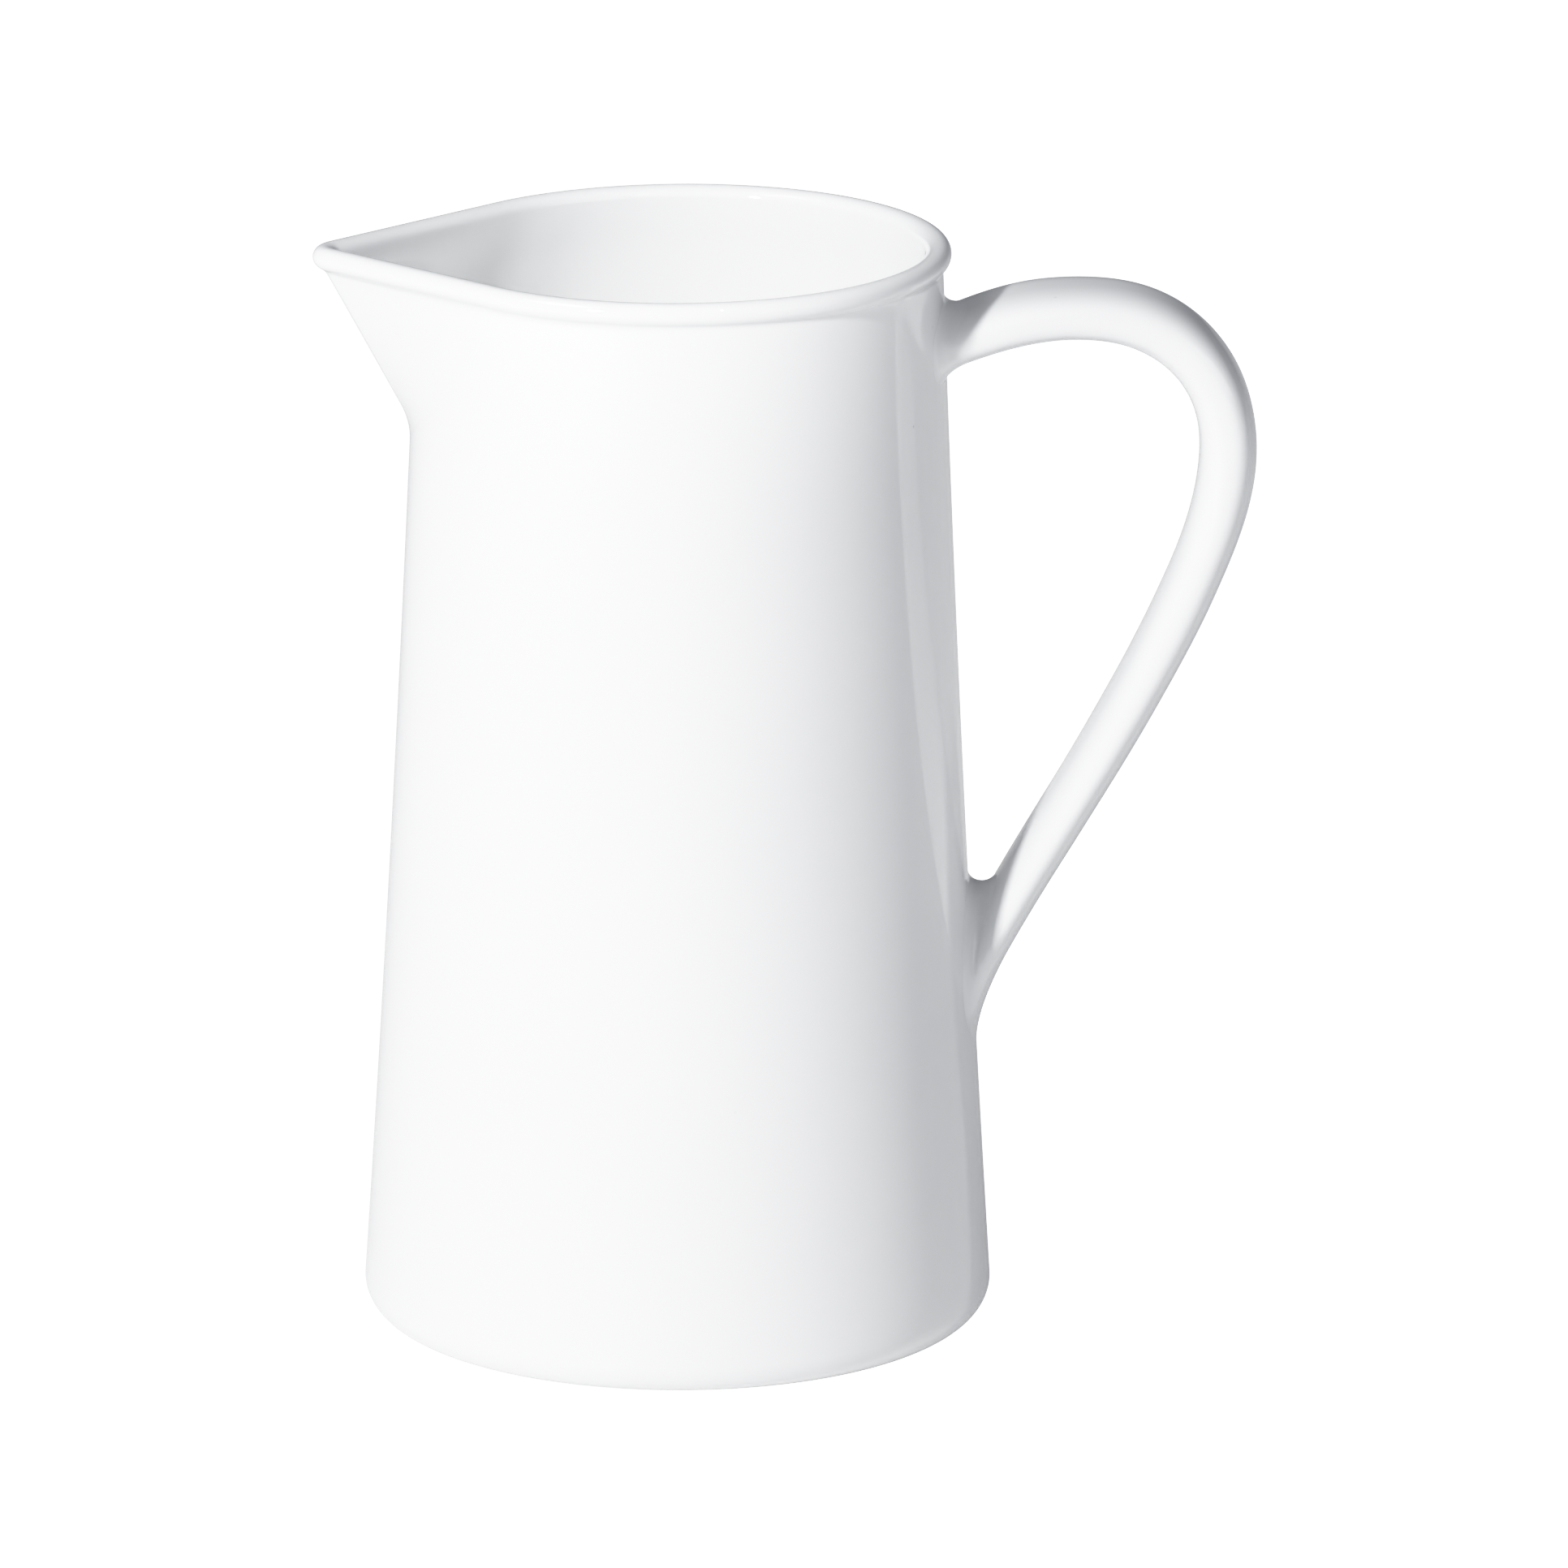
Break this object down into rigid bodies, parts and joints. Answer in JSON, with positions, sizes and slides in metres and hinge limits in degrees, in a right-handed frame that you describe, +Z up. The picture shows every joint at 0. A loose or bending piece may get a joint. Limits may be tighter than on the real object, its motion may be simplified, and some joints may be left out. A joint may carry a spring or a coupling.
{
  "type": "ceramic pitcher",
  "caption": "Tapered round water pitcher with a folded V spout, a rolled lip, an arched strap handle and a foot ring.",
  "frame": {"origin": "on the body's axis, at the plane that the foot ring rests on", "axes": "+Z up along the body's axis, -X towards the spout, +X towards the handle, +Y completes a right-handed frame"},
  "size_m": [0.1858, 0.125, 0.2185],
  "materials": {
    "white_glaze": "clear gloss glaze over a white body",
    "bisque": "unglazed, wiped and lightly sanded"
  },
  "bodies": {
    "root": {"body": "white_glaze", "spout": "white_glaze", "rim_lip": "white_glaze", "handle": "white_glaze", "upper_handle_joint": "white_glaze", "lower_handle_joint": "white_glaze", "foot_ring": "bisque"}
  },
  "joints": []
}
